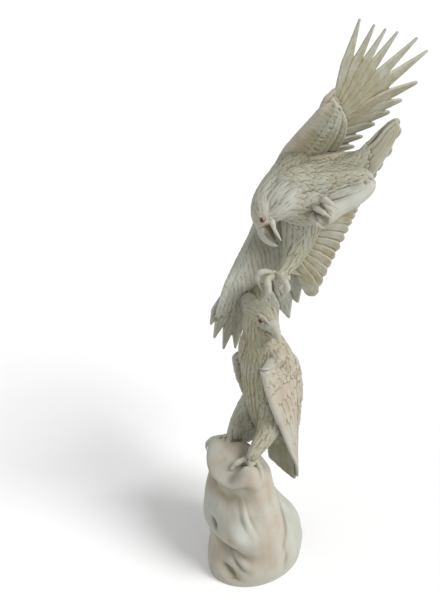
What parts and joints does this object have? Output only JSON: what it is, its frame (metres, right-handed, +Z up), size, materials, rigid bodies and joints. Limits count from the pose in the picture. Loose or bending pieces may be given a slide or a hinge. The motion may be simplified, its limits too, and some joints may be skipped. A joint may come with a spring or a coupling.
{
  "type": "carved wooden eagle statue",
  "caption": "Tall wooden carving of a perched eagle on a rock plinth with a second eagle swooping past behind it, talons out, one wing raised and one hanging.",
  "frame": {"origin": "centre of the rock's flat underside", "axes": "+Z up; the perched eagle's chest faces -Y; its turned head points along +X"},
  "size_m": [0.2407, 0.5281, 1.0166],
  "materials": {
    "pale_wood": "raw, carved and sanded, unvarnished",
    "eye_glass": "glossy orange-red iris with a dark pupil"
  },
  "bodies": {
    "root": {"eagle_carving": "pale_wood", "upper_eye_left": "eye_glass", "upper_eye_right": "eye_glass", "lower_eye_right": "eye_glass", "lower_eye_left": "eye_glass"}
  },
  "joints": []
}
